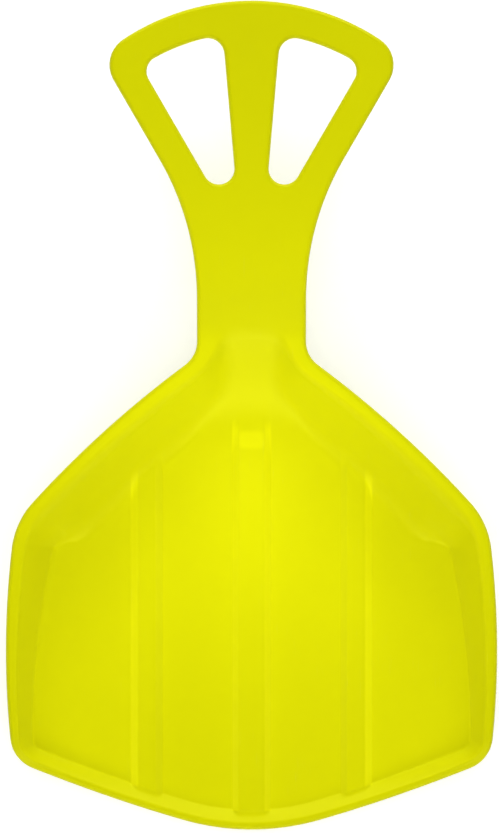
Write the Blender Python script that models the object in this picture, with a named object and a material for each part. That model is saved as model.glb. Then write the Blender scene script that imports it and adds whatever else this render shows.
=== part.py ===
"""Bum slider: a one-piece moulded snow slider with a ribbed pan, a neck and a fan-shaped handle.

Metres, +Z up. +Y points to the handle, +X to the right of someone seated, and the origin lies under the
middle of the slider, on the surface that it stands on.

The moulding is one thin sheet. Its plan is an outline of arcs with rounded corners and two hand openings.
Its height is a rim line, drawn in side view, that is pressed down to the floor inside the pan. Half of the
upper face is worked out, mirrored, and then given its wall.
"""

import math

import bpy
import numpy as np
from mathutils.geometry import delaunay_2d_cdt

# Sheet
WALL = 0.0025
RIM_RADIUS = 0.0032
SKIRT_DEPTH = 0.0075

# Plan of the pan, measured forward from the rear point
LENGTH = 0.600
PAN_WIDTH = 0.356
WIDEST_FORWARD = 0.128
SIDE_RADIUS = 0.650
REAR_POINT_RADIUS = 0.180
REAR_EDGE_RADIUS = 1.100
REAR_CORNER_FORWARD = 0.0511
REAR_CORNER_RADIUS = 0.026
FRONT_CORNER_FORWARD = 0.2245
FRONT_CORNER_RADIUS = 0.060
SHOULDER_FORWARD = 0.3444
SHOULDER_RADIUS = 0.021
FRONT_EDGE_BOW = 0.0052

# Neck and handle
NECK_WIDTH = 0.0788
FLARE_RADIUS = 0.200
BAR_ANGLE = math.radians(30.1)
HANDLE_TOP_RADIUS = 0.1674
HANDLE_CORNER_X = 0.1091
HANDLE_CORNER_RADIUS = 0.022

# Hand openings
TOP_BAR_WIDTH = 0.0232
SIDE_BAR_WIDTH = 0.0224
CENTRE_BAR_TOP_WIDTH = 0.0418
CENTRE_BAR_ANGLE = math.radians(5.0)
OPENING_OUTER_RADIUS = 0.011
OPENING_INNER_RADIUS = 0.012
OPENING_BOTTOM_RADIUS = 0.0112

# Rim line in side view: height of the upper face
REAR_POINT_HEIGHT = 0.0085
REAR_LIP_END_FORWARD = 0.038
REAR_LIP_END_HEIGHT = 0.012
SIDE_RIM_FORWARD = 0.063
SIDE_RIM_HEIGHT = 0.025
FRONT_CORNER_HEIGHT = 0.050
SHOULDER_HEIGHT = 0.054
HANDLE_HEIGHT = 0.070
NECK_FOOT_FORWARD = 0.359
NECK_SLOPE = math.radians(20.0)
REAR_LIP_BEND = 0.060
REAR_RIM_BEND = 0.070
SIDE_RIM_BEND = 0.300
NECK_FOOT_BEND = 0.030
NECK_TOP_BEND = 0.110

# Walls of the pan: level flange, then the run of the slope in plan
REAR_FLANGE = 0.0051
REAR_RUN = 0.0092
REAR_CORNER_FLANGE = 0.0060
REAR_CORNER_RUN = 0.0085
SIDE_FLANGE = 0.0100
SIDE_RUN = 0.0190
FRONT_FLANGE = 0.0115
FRONT_RUN = 0.0300
RAMP_SLOPE = math.radians(42.0)

# Bends of the walls: how far the bend under the flange reaches, and the others as a share of their slope
SIDE_TOP_BEND = 0.09
FRONT_TOP_BEND = 0.22
NECK_EDGE_BEND = 0.07
SIDE_FOOT_BEND = 0.07
FRONT_FOOT_BEND = 0.32
RAMP_FOOT_BEND = 0.60
VALLEY_SHARPNESS = 5

# Where along the pan's edge one section of the wall gives way to the next
REAR_SECTION_SHARE = 0.85
SIDE_SECTION_SHARE = 0.93
FRONT_BLEND_SHARE = 0.15

# Floor
BILGE_WIDTH = 0.045
BILGE_RISE = 0.005
RIB_HEIGHT = 0.0040
RIB_BLEND = 3
CENTRE_RIB_WIDTH = 0.0280
CENTRE_RIB_TOP_WIDTH = 0.0192
SIDE_RIB_X = 0.0763
SIDE_RIB_WIDTH = 0.0232
SIDE_RIB_TOP_WIDTH = 0.0128

# Facets
COARSE_TURN = math.radians(11.0)
COARSE_STEP = 0.0115
FINE_TURN = math.radians(2.0)
FINE_STEP = 0.005
RIB_STEP = 0.030
RIB_CLEAR = 0.004
RIB_SEARCH = 1200
GRID = 0.004
GRID_CLEAR = 0.003
LITTLE_BEND = 0.00002
LARGE_BEND = 0.00007
LEAST_BURIAL = 0.0006
RIB_REACH = 1.25
RIB_END_POINTS = 5
RIB_END_STEP = 0.0025
BEND_LINES = ((1.0, 0.0), (0.5, 0.004), (0.0, 0.001), (-0.5, 0.004), (-1.0, 0.0))
BILGE_LINES = (0.3, 0.6, 1.0)
FLANK_LINES = (0.0, 0.5, 1.0)
CORNER_DAMPING = 0.02
SHARP_ANGLE = math.radians(30.0)
STRAIGHT_BOW = 1e-6
MERGE = 0.00005

# Colour of the plastic
PLASTIC_COLOUR = (0.75, 0.75, 0.005, 1.0)
PLASTIC_ROUGHNESS = 0.38

REAR_Y = -LENGTH / 2
FRONT_Y = LENGTH / 2
SHOULDER_Y = REAR_Y + SHOULDER_FORWARD
NECK_FOOT_Y = REAR_Y + NECK_FOOT_FORWARD
REAR_CORNER_Y = REAR_Y + REAR_CORNER_FORWARD
FRONT_CORNER_Y = REAR_Y + FRONT_CORNER_FORWARD
SHOULDER = complex(NECK_WIDTH / 2, SHOULDER_Y)
HANDLE_CENTRE = complex(0, FRONT_Y - HANDLE_TOP_RADIUS)
RIBS = (
    (0.0, CENTRE_RIB_WIDTH, CENTRE_RIB_TOP_WIDTH),
    (SIDE_RIB_X, SIDE_RIB_WIDTH, SIDE_RIB_TOP_WIDTH),
)
SIDE_CENTRE = complex(PAN_WIDTH / 2 - SIDE_RADIUS, REAR_Y + WIDEST_FORWARD)


def clear_scene():
    for item in list(bpy.data.objects):
        bpy.data.objects.remove(item, do_unlink=True)


def arc_of(start, end, bow):
    """Centre and radius of the arc from start to end whose middle stands out to the right by bow."""
    bow = bow or STRAIGHT_BOW
    chord = end - start
    radius = (abs(chord) ** 2 / 4 + bow**2) / (2 * bow)
    left = 1j * chord / abs(chord)
    return (start + end) / 2 + left * (radius - bow), radius


def circle_crossing(first, second, near):
    """The point nearest to near where two circles cross."""
    (centre_a, radius_a), (centre_b, radius_b) = first, second
    apart = centre_b - centre_a
    along = (radius_a**2 - radius_b**2 + abs(apart) ** 2) / (2 * abs(apart))
    across = math.sqrt(max(radius_a**2 - along**2, 0.0))
    way = apart / abs(apart)
    crossings = [centre_a + way * (along + 1j * side * across) for side in (1, -1)]
    return min(crossings, key=lambda point: abs(point - near))


def fillet(first, second, radius, corner):
    """Centre, radius, start and end of a corner's rounding. A right turn has a negative radius."""
    (centre_a, radius_a), (centre_b, radius_b) = first, second
    centre = circle_crossing(
        (centre_a, abs(radius_a - radius)), (centre_b, abs(radius_b - radius)), corner
    )
    start = centre_a + (centre - centre_a) * radius_a / (radius_a - radius)
    end = centre_b + (centre - centre_b) * radius_b / (radius_b - radius)
    return centre, radius, start, end


def arc_points(centre, radius, start, end, turn, step):
    """Points along an arc in an even number of steps, and at each the unit vector to the left."""
    sweep = np.angle((end - centre) / (start - centre))
    count = max(math.ceil(abs(sweep) / turn), math.ceil(abs(sweep * radius) / step), 1)
    count += count % 2
    points = centre + (start - centre) * np.exp(1j * sweep * np.arange(count + 1) / count)
    return points, (centre - points) / radius


def rounded_path(edges, corners, radii, start, end, turn, step):
    """A chain of arcs with rounded corners: its points, and the unit vectors to its left.

    Each edge is a centre and a radius. A radius of 0 leaves its corner as it is. A loop has no start and
    end: it has as many corners as edges, and its first corner lies between its last edge and its first."""
    closed = start is None
    bends = []
    for i, (corner, radius) in enumerate(zip(corners, radii)):
        before, after = (edges[i - 1], edges[i]) if closed else (edges[i], edges[i + 1])
        unrounded = (None, 0, corner, corner)
        bends.append(fillet(before, after, radius, corner) if radius else unrounded)
    starts = bends if closed else [(None, 0, start, start), *bends]
    stops = [*bends[1:], bends[0]] if closed else [*bends, (None, 0, end, end)]
    points, normals = [], []
    for (centre, radius), first, last in zip(edges, starts, stops):
        for piece in ((centre, radius, first[3], last[2]), last):
            if piece[0] is not None:
                found, left = arc_points(*piece, turn, step)
                points.append(found[:-1])
                normals.append(left[:-1])
    if not closed:
        points.append([end])
        normals.append(left[-1:])
    return np.concatenate(points), np.concatenate(normals)


def side_point(y):
    """The point of the pan's bowed side at y."""
    return complex(SIDE_CENTRE.real + math.sqrt(SIDE_RADIUS**2 - (y - SIDE_CENTRE.imag) ** 2), y)


def pan_arcs():
    """The arcs round the pan from the rear point forward, the corners between them, and their radii."""
    point = (complex(0, REAR_Y + REAR_POINT_RADIUS), REAR_POINT_RADIUS)
    rear_corner = side_point(REAR_CORNER_Y)
    front_corner = side_point(FRONT_CORNER_Y)
    inner_reach = (point[0], REAR_EDGE_RADIUS - REAR_POINT_RADIUS)
    rear_centre = circle_crossing((rear_corner, REAR_EDGE_RADIUS), inner_reach, 1j * REAR_EDGE_RADIUS)
    meeting = rear_centre + (point[0] - rear_centre) * REAR_EDGE_RADIUS / inner_reach[1]
    front = arc_of(front_corner, SHOULDER, FRONT_EDGE_BOW)
    edges = [point, (rear_centre, REAR_EDGE_RADIUS), (SIDE_CENTRE, SIDE_RADIUS), front]
    return edges, [meeting, rear_corner, front_corner], [0, REAR_CORNER_RADIUS, FRONT_CORNER_RADIUS]


def bar_line():
    """Where the side bar's outer edge meets the neck's line and the handle's top arc, before rounding."""
    height = math.sqrt(HANDLE_TOP_RADIUS**2 - HANDLE_CORNER_X**2)
    top = HANDLE_CENTRE + complex(HANDLE_CORNER_X, height)
    drop = (HANDLE_CORNER_X - NECK_WIDTH / 2) / math.tan(BAR_ANGLE)
    return complex(NECK_WIDTH / 2, top.imag - drop), top


def outline(turn=COARSE_TURN, step=COARSE_STEP):
    """Right half of the slider's outline, from the rear point round to the middle of the handle."""
    flare, handle_corner = bar_line()
    edges, corners, radii = pan_arcs()
    edges += [arc_of(SHOULDER, flare, 0), arc_of(flare, handle_corner, 0)]
    edges += [(HANDLE_CENTRE, HANDLE_TOP_RADIUS)]
    corners += [SHOULDER, flare, handle_corner]
    radii += [-SHOULDER_RADIUS, -FLARE_RADIUS, HANDLE_CORNER_RADIUS]
    return rounded_path(edges, corners, radii, complex(0, REAR_Y), complex(0, FRONT_Y), turn, step)


def pan_edge(turn, step):
    """Half of the line round the pan: the outline as far as the foot of the neck."""
    neck_foot = complex(NECK_WIDTH / 2, NECK_FOOT_Y + FRONT_FLANGE)
    edges, corners, radii = pan_arcs()
    edges = [*edges, arc_of(SHOULDER, neck_foot, 0)]
    corners = [*corners, SHOULDER]
    radii = [*radii, -SHOULDER_RADIUS]
    return rounded_path(edges, corners, radii, complex(0, REAR_Y), neck_foot, turn, step)


def hand_opening(turn=COARSE_TURN, step=COARSE_STEP):
    """The right hand opening, run clockwise so that the plastic lies to its left."""
    flare, handle_corner = bar_line()
    arc_radius = HANDLE_TOP_RADIUS - TOP_BAR_WIDTH
    outer_way = (handle_corner - flare) / abs(handle_corner - flare)
    outer_start = flare + 1j * outer_way * SIDE_BAR_WIDTH
    inner_way = 1j * np.exp(-1j * CENTRE_BAR_ANGLE)
    inner_top = complex(CENTRE_BAR_TOP_WIDTH / 2, HANDLE_CENTRE.imag + arc_radius)
    bottom = line_crossing(outer_start, outer_way, inner_top, inner_way)
    inner_side = arc_of(bottom, bottom + inner_way * arc_radius, 0)
    outer_side = arc_of(bottom + outer_way * arc_radius, bottom, 0)
    top = (HANDLE_CENTRE, -arc_radius)
    upper_inner = circle_crossing(top, inner_side, inner_top)
    upper_outer = circle_crossing(top, outer_side, handle_corner)
    corners = [bottom, upper_inner, upper_outer]
    radii = [-OPENING_BOTTOM_RADIUS, -OPENING_INNER_RADIUS, -OPENING_OUTER_RADIUS]
    return rounded_path([inner_side, top, outer_side], corners, radii, None, None, turn, step)


def line_crossing(start_a, way_a, start_b, way_b):
    """The point where two straight lines cross."""
    gap = start_b - start_a
    along = (np.conj(way_b) * gap).imag / (np.conj(way_b) * way_a).imag
    return start_a + way_a * along


def fine_pan_edge():
    """The pan's edge in small steps, and the station along it: 0 rear point, 1 and 2 corners, 3 neck."""
    points, _ = pan_edge(FINE_TURN, FINE_STEP)
    length = np.concatenate([[0.0], np.cumsum(abs(np.diff(points)))])
    places = (side_point(REAR_CORNER_Y), side_point(FRONT_CORNER_Y))
    marks = [length[np.argmin(abs(points - corner))] for corner in places]
    return points, np.interp(length, [0.0, *marks, length[-1]], range(4))


def wall_section(station):
    """Flange width, run of the slope and reach of its foot and top bends at a station on the pan's edge."""
    stations = [REAR_SECTION_SHARE, 1, 1 + SIDE_SECTION_SHARE, 2 + FRONT_BLEND_SHARE, 3]
    flange = [REAR_FLANGE, REAR_CORNER_FLANGE, SIDE_FLANGE, FRONT_FLANGE, FRONT_FLANGE]
    run = [REAR_RUN, REAR_CORNER_RUN, SIDE_RUN, FRONT_RUN, FRONT_RUN]
    foot = [SIDE_FOOT_BEND, SIDE_FOOT_BEND, SIDE_FOOT_BEND, FRONT_FOOT_BEND, FRONT_FOOT_BEND]
    top = [SIDE_TOP_BEND, SIDE_TOP_BEND, SIDE_TOP_BEND, FRONT_TOP_BEND, NECK_EDGE_BEND]
    return tuple(np.interp(station, stations, values) for values in (flange, run, foot, top))


def ease(value, reach):
    """0 below -reach, value above reach, and a parabola between that bends from one into the other."""
    bend = (value + reach) ** 2 / (4 * reach)
    return np.where(value < -reach, 0.0, np.where(value > reach, value, bend))


def from_edge(points, edge):
    """Distance of each point inside the pan's edge, and the nearest station along it."""
    line, station = edge
    start, span = line[:-1], np.diff(line)
    offset = points[:, None] - start[None, :]
    share = np.clip((offset * np.conj(span)).real / abs(span) ** 2, 0.0, 1.0)
    gap = abs(offset - share * span)
    nearest = np.argmin(gap, axis=1)
    row = np.arange(len(points))
    side = np.sign((np.conj(span)[None, :] * offset).imag[row, nearest])
    found = station[nearest] + share[row, nearest] * np.diff(station)[nearest]
    return gap[row, nearest] * side, found


def rim_height(y):
    """Height of the rim line over y: lip, side rim, shoulder, neck and handle in one side-view curve."""
    neck_top = NECK_FOOT_Y + (HANDLE_HEIGHT - SHOULDER_HEIGHT) / math.tan(NECK_SLOPE)
    corners = [complex(REAR_Y + REAR_LIP_END_FORWARD, REAR_LIP_END_HEIGHT)]
    corners += [complex(REAR_Y + SIDE_RIM_FORWARD, SIDE_RIM_HEIGHT), complex(FRONT_CORNER_Y, FRONT_CORNER_HEIGHT)]
    corners += [complex(NECK_FOOT_Y, SHOULDER_HEIGHT), complex(neck_top, HANDLE_HEIGHT)]
    start = complex(REAR_Y, REAR_POINT_HEIGHT)
    end = complex(FRONT_Y, HANDLE_HEIGHT)
    edges = [arc_of(a, b, 0) for a, b in zip([start, *corners], [*corners, end])]
    radii = [REAR_LIP_BEND, -REAR_RIM_BEND, -SIDE_RIM_BEND, NECK_FOOT_BEND, -NECK_TOP_BEND]
    line, _ = rounded_path(edges, corners, radii, start, end, FINE_TURN, FINE_STEP)
    return np.interp(y, line.real, line.imag)


def floor_height(points):
    """Upper face of the floor, which rises a little towards the foot of the side walls."""
    ends = [REAR_CORNER_Y, FRONT_CORNER_Y]
    widths = [REAR_CORNER_FLANGE + REAR_CORNER_RUN, SIDE_FLANGE + SIDE_RUN]
    beside_wall = SIDE_RADIUS - abs(points - SIDE_CENTRE) - np.interp(points.imag, ends, widths)
    return WALL + BILGE_RISE * np.clip(1 - beside_wall / BILGE_WIDTH, 0.0, 1.0) ** 2


def rib_height(x):
    """Height of the lengthwise ribs over the floor, with sloping flanks."""
    height = np.zeros_like(x)
    for centre, width, top_width in RIBS:
        flank = (width - top_width) / 2
        height = np.maximum(height, np.clip((width / 2 - abs(x - centre)) / flank, 0.0, 1.0))
    return height * RIB_HEIGHT


def ramp_share(y, depth):
    """How far up from the floor to the rim the ramp to the neck has come."""
    foot = NECK_FOOT_Y - (SHOULDER_HEIGHT - WALL) / math.tan(RAMP_SLOPE)
    return ease((y - foot) * math.tan(RAMP_SLOPE) / depth, RAMP_FOOT_BEND)


def pan_height(points, edge):
    """Upper face of the sheet without its ribs, and the floor below it, before the edge is rounded."""
    distance, station = from_edge(points, edge)
    flange, run, foot, top = wall_section(station)
    floor = floor_height(points)
    depth = rim_height(points.imag) - floor
    wall = ease((flange + run - distance) / run, foot)
    ramp = ramp_share(points.imag, depth)
    share = (wall**VALLEY_SHARPNESS + ramp**VALLEY_SHARPNESS) ** (1 / VALLEY_SHARPNESS)
    share = 1 - ease(1 - share, top)
    return floor + depth * share, floor


def sheet_height(points, edge):
    """Upper face of the sheet. The ribs stand on the floor and die away as the walls and the ramp rise."""
    height, floor = pan_height(points, edge)
    rise = height - floor
    rib = rib_height(points.real) * (1 - rise / (rim_height(points.imag) - floor))
    return floor + (rise**RIB_BLEND + np.maximum(rib, 0.0) ** RIB_BLEND) ** (1 / RIB_BLEND)


def rim_offsets():
    """Plan distance in from the edge, and the drop below the sheet, at each line round the rounded rim."""
    angles = np.radians([0.0, 45.0, 90.0])
    return [(RIM_RADIUS * (1 - math.cos(a)), RIM_RADIUS * (1 - math.sin(a))) for a in angles]


def inside(points, loop):
    """Whether each point lies inside a closed loop."""
    start, end = loop, np.roll(loop, -1)
    y = points.imag[:, None]
    crosses = (start.imag > y) != (end.imag > y)
    rise = np.where(start.imag == end.imag, 1.0, end.imag - start.imag)
    at = start.real + (y - start.imag) / rise * (end.real - start.real)
    return (crosses & (points.real[:, None] < at)).sum(axis=1) % 2 == 1


def rim_lines(points, normals):
    """The lines round a rounded rim in plan, from the outermost inwards."""
    return [points + normals * inward for inward, _ in rim_offsets()]


def away_from(points, lines, clear):
    """Whether each point keeps a distance from every line."""
    clear_of_all = np.ones(len(points), bool)
    for line in lines:
        start, span = line[:-1], np.diff(line)
        offset = points[:, None] - start[None, :]
        share = np.clip((offset * np.conj(span)).real / abs(span) ** 2, 0.0, 1.0)
        clear_of_all &= abs(offset - share * span).min(axis=1) > clear
    return clear_of_all


def rib_places():
    """Where the lengthwise lines of the ribs' flanks lie, from the middle of the slider outwards."""
    places = [0.0]
    for centre, width, top_width in RIBS:
        for share in FLANK_LINES:
            out = (width - share * (width - top_width)) / 2
            places += [centre - out, centre + out]
    return sorted(x for x in places if x >= 0)


def onto_ribs(line):
    """Marks along a line, in points: its points clear of the ribs' lines, and where it crosses these."""
    marks = np.arange(len(line))
    places = np.array(rib_places()[1:])
    clear = abs(line.real[:, None] - places).min(axis=1) > RIB_CLEAR
    crossings = []
    for x in places:
        before, after = line.real[:-1] - x, line.real[1:] - x
        crossed = np.flatnonzero(before * after < 0)
        crossings.append(crossed + before[crossed] / (before - after)[crossed])
    return np.sort(np.concatenate([marks[clear], *crossings]))


def kept_stretches(line, keep):
    """The stretches of a line whose points are kept."""
    breaks = np.flatnonzero(np.diff(keep.astype(int))) + 1
    parts = zip(np.split(line, breaks), np.split(keep, breaks))
    return [stretch for stretch, kept in parts if kept[0] and len(stretch) > 1]


def wall_lines(edge):
    """Level lines on the bends of the pan's walls and over its bilges, where they shape the sheet."""
    points, normals = pan_edge(COARSE_TURN, COARSE_STEP)
    _, station = from_edge(points, edge)
    flange, run, foot, top = wall_section(station)
    lines = []
    for middle, reach in ((1.0, top), (0.0, foot)):
        for share, least_reach in BEND_LINES:
            level = middle + share * reach
            line = points + normals * (flange + run * (1 - level))
            lines += wall_stretches(line, level, reach * run > least_reach, edge)
    beside = (station > 1) & (station < 2)
    for share in BILGE_LINES:
        line = points + normals * (flange + run + share * BILGE_WIDTH)
        lines += wall_stretches(line, np.zeros_like(run), beside, edge)
    return lines


def wall_stretches(line, level, wanted, edge):
    """The stretches of a wall's level line where neither a rib nor the ramp rises over the wall."""
    marks, places = onto_ribs(line), np.arange(len(line))
    line, level, wanted = (np.interp(marks, places, values) for values in (line, level, wanted))
    height, floor = pan_height(line, edge)
    over_ramp = ramp_share(line.imag, rim_height(line.imag) - floor) <= np.maximum(level, 0.0)
    over_rib = height > floor + rib_height(line.real) - MERGE
    return kept_stretches(line, (wanted == 1) & over_ramp & over_rib)


def rib_lines(edge):
    """Lines along the flanks and the middle of each rib, and across its ends."""
    lines = []
    for centre, width, _ in RIBS:
        along = [rib_line(x, edge) for x in rib_places() if abs(x - centre) < width / 2 + MERGE]
        lines += [*along, np.array([line[0] for line in along]), np.array([line[-1] for line in along])]
    return lines


def rib_line(x, edge):
    """One line along a rib, for as long as it stands out of the walls and the ramp. Its ends have more points."""
    along = x + 1j * np.linspace(REAR_Y, NECK_FOOT_Y, RIB_SEARCH)
    height, floor = pan_height(along, edge)
    clear = along.imag[height < floor + RIB_REACH * np.maximum(rib_height(along.real), LEAST_BURIAL)]
    count = math.ceil((clear[-1] - clear[0]) / RIB_STEP)
    steps = np.arange(RIB_END_POINTS) * RIB_END_STEP
    between = np.linspace(clear[0], clear[-1], count + 1)[1:-1]
    return x + 1j * np.concatenate([clear[0] + steps, between, clear[-1] - steps[::-1]])


def neck_foot_lines():
    """Lines straight across the foot of the neck, where the top of the ramp bends over into it."""
    across = np.arange(0, NECK_WIDTH / 2 - FRONT_FLANGE, 2 * GRID)
    reach = NECK_EDGE_BEND * (SHOULDER_HEIGHT - WALL) / math.tan(RAMP_SLOPE)
    return [across + 1j * (NECK_FOOT_Y + share * reach) for share in (-1, 0, 1)]


def middle_line():
    """The middle line of the ramp and the neck, for as long as these bend in side view."""
    foot = NECK_FOOT_Y - (1 + RAMP_FOOT_BEND) * (SHOULDER_HEIGHT - WALL) / math.tan(RAMP_SLOPE)
    neck_top = NECK_FOOT_Y + (HANDLE_HEIGHT - SHOULDER_HEIGHT) / math.tan(NECK_SLOPE)
    return 1j * np.arange(foot, neck_top + NECK_TOP_BEND * NECK_SLOPE, GRID)


def bent_points(border, lines, edge):
    """Points of a square grid where the sheet bends between the lines, and fewer where it bends little."""
    columns, rows = np.meshgrid(np.arange(0, PAN_WIDTH / 2 / GRID), np.arange(0, LENGTH / GRID))
    even = ((columns % 2 == 0) & (rows % 2 == 0)).ravel()
    grid = (GRID * (columns + 1j * rows)).ravel() + 1j * REAR_Y
    fit = inside(grid + MERGE, border) & away_from(grid, lines, GRID_CLEAR)
    grid, even = grid[fit], even[fit]
    around = [grid + way * GRID_CLEAR for way in (1, 1j, -1, -1j)]
    heights = [sheet_height(abs(spots.real) + 1j * spots.imag, edge) for spots in around]
    bend = abs(np.mean(heights, axis=0) - sheet_height(grid, edge))
    return grid[bend > np.where(even, LITTLE_BEND, LARGE_BEND)]


def plan_facets(edge):
    """The sheet's facets in plan: their points, their corners, and each point's drop at the rim."""
    rims = rim_lines(*outline())
    holes = rim_lines(*hand_opening())
    drops = [drop for _, drop in rim_offsets()]
    lines = [*wall_lines(edge), *rib_lines(edge), *neck_foot_lines(), middle_line()]
    spots, fall, links = [], [], []
    for line, drop in [*zip(rims, drops), *zip(holes, drops), *((line, 0.0) for line in lines)]:
        first = len(spots)
        spots.extend(line)
        fall.extend([drop] * len(line))
        links.extend((first + i, first + i + 1) for i in range(len(line) - 1))
        if any(line is hole for hole in holes):
            links.append((first + len(line) - 1, first))
    grid = bent_points(rims[0], rims + holes + lines, edge)
    spots.extend(grid)
    fall.extend([0.0] * len(grid))
    spots = np.array(spots)
    middle = np.flatnonzero(abs(spots.real) < MERGE)
    spots[middle] = 1j * spots[middle].imag
    middle = middle[np.argsort(spots.imag[middle])]
    links.extend(zip(middle[:-1], middle[1:]))
    links = [(int(a), int(b)) for a, b in links]
    flat = [(spot.real, spot.imag) for spot in spots]
    flat, _, faces, origins, *_ = delaunay_2d_cdt(flat, links, [], 1, 1e-7)
    flat = np.array([complex(*spot) for spot in flat])
    fall = np.array([max((fall[i] for i in given), default=0.0) for given in origins])
    faces = np.array(faces)
    return flat, faces[~inside(flat[faces].mean(axis=1), holes[0])], fall


def open_edges(faces):
    """The edges with a face on one side only, each running the way that its face does."""
    edges = np.concatenate([faces[:, [0, 1]], faces[:, [1, 2]], faces[:, [2, 0]]])
    known = {(a, b) for a, b in edges.tolist()}
    return np.array([(a, b) for a, b in edges.tolist() if (b, a) not in known])


def strip(upper, lower):
    """Facets that join two rows of points, given as the edges of each row."""
    (a, b), (c, d) = upper.T, lower.T
    return np.concatenate([np.column_stack([b, a, c]), np.column_stack([b, c, d])])


def with_skirt(points, faces):
    """The half sheet with its open edges, apart from the middle line, turned straight down."""
    rim = open_edges(faces)
    rim = rim[(points[rim][:, :, 0] > MERGE).any(axis=1)]
    top = np.unique(rim)
    foot = np.zeros(len(points), int)
    foot[top] = len(points) + np.arange(len(top))
    down = points[top] - (0, 0, SKIRT_DEPTH - RIM_RADIUS)
    return np.concatenate([points, down]), np.concatenate([faces, strip(rim, foot[rim])])


def with_other_half(points, faces):
    """The half sheet and its mirror image, joined along the middle line."""
    points[points[:, 0] < MERGE, 0] = 0.0
    off_middle = np.flatnonzero(points[:, 0])
    twin = np.arange(len(points))
    twin[off_middle] = len(points) + np.arange(len(off_middle))
    mirrored = points[off_middle] * (-1, 1, 1)
    return np.concatenate([points, mirrored]), np.concatenate([faces, twin[faces[:, ::-1]]])


def wall_offsets(points, faces):
    """At each point the way to the sheet's lower face, which lies one wall away from every facet there."""
    corners = points[faces]
    across = np.cross(corners[:, 1] - corners[:, 0], corners[:, 2] - corners[:, 0])
    normals = across / np.linalg.norm(across, axis=1)[:, None]
    pull = np.zeros((len(points), 3))
    spread = np.zeros((len(points), 3, 3))
    for i in range(3):
        one, other = corners[:, i - 1] - corners[:, i], corners[:, i - 2] - corners[:, i]
        angle = np.arctan2(np.linalg.norm(across, axis=1), (one * other).sum(axis=1))
        np.add.at(pull, faces[:, i], angle[:, None] * normals)
        np.add.at(spread, faces[:, i], angle[:, None, None] * normals[:, :, None] * normals[:, None, :])
    damping = CORNER_DAMPING * np.trace(spread, axis1=1, axis2=2)
    firm = spread + damping[:, None, None] * np.eye(3)
    return -WALL * (1 + CORNER_DAMPING) * np.linalg.solve(firm, pull[:, :, None])[:, :, 0]


def shell_mesh():
    """Points and facets of the whole moulding: its upper face, its lower face and the edge between."""
    edge = fine_pan_edge()
    flat, faces, fall = plan_facets(edge)
    points = np.column_stack([flat.real, flat.imag, sheet_height(flat, edge) - fall])
    used, faces = np.unique(faces, return_inverse=True)
    points, faces = with_skirt(points[used], faces.reshape(-1, 3))
    points, faces = with_other_half(points, faces)
    lower = points + wall_offsets(points, faces)
    lower[:, 2] = np.maximum(lower[:, 2], 0.0)
    rim = open_edges(faces)
    closing = strip(rim, rim + len(points))
    all_faces = np.concatenate([faces, faces[:, ::-1] + len(points), closing])
    return np.concatenate([points, lower]), all_faces


def plastic():
    """Glossy yellow-green polyethylene, the same all through."""
    material = bpy.data.materials.new("yellow_green_plastic")
    material.use_nodes = True
    shader = material.node_tree.nodes["Principled BSDF"]
    shader.inputs["Base Color"].default_value = PLASTIC_COLOUR
    shader.inputs["Roughness"].default_value = PLASTIC_ROUGHNESS
    shader.inputs["Metallic"].default_value = 0.0
    return material


def slider_shell(collection):
    """The whole slider, which is one moulding."""
    data = bpy.data.meshes.new("slider_shell")
    points, faces = shell_mesh()
    data.from_pydata(points.tolist(), [], faces.tolist())
    data.materials.append(plastic())
    data.shade_smooth()
    data.set_sharp_from_angle(angle=SHARP_ANGLE)
    shell = bpy.data.objects.new("slider_shell", data)
    collection.objects.link(shell)
    return shell


def main():
    clear_scene()
    collection = bpy.data.collections.new("bum_slider")
    bpy.context.scene.collection.children.link(collection)
    slider_shell(collection)


main()
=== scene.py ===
# %% [markdown]
# # A one-piece snow slider
# The real slider is one thin sheet of polyethylene: a shallow ribbed pan, a low rear lip, side walls, two slanted
# front walls, a neck that climbs out of the pan, and a fan-shaped handle with two hand openings.
# Nothing on it moves and nothing is fixed to it, so the whole lesson makes one surface and one plastic.
#
# A modeller could pull this shape out of a cage by hand. Here it is worked out instead: the plan is a chain of arcs,
# the height is a formula over the plan, and both are put on grids whose lines follow the bends of the moulding.
# That keeps every crease crisp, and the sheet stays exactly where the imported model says.

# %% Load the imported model
import math

import bpy
import numpy as np
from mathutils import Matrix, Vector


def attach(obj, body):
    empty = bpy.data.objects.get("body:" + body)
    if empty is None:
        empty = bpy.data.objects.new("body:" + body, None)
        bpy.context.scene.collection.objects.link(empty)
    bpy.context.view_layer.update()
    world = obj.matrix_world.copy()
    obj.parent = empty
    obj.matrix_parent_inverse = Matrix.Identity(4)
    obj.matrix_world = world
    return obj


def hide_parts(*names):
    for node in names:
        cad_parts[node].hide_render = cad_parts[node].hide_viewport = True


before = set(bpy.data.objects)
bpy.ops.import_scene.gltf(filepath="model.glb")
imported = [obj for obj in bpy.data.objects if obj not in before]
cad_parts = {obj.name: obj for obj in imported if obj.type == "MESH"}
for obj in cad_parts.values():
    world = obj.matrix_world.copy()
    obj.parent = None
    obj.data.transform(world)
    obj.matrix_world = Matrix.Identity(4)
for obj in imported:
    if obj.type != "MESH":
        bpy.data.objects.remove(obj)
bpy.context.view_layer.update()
print("packed nodes:", sorted(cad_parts))

# %% [markdown]
# ## Sizes
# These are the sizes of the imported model, in metres, and a few finer ones that only show close up.
# +Y points to the handle and +X to the right of someone seated. Plan points are complex numbers, x + iy, because
# turning, offsetting and mirroring in the plane are then plain arithmetic on whole arrays.

# %% Sizes of the sheet and its plan
WALL = 0.0025
RIM_RADIUS = 0.0032
SKIRT_DEPTH = 0.0075
SKIRT_FOOT_RADIUS = 0.0008

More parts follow.
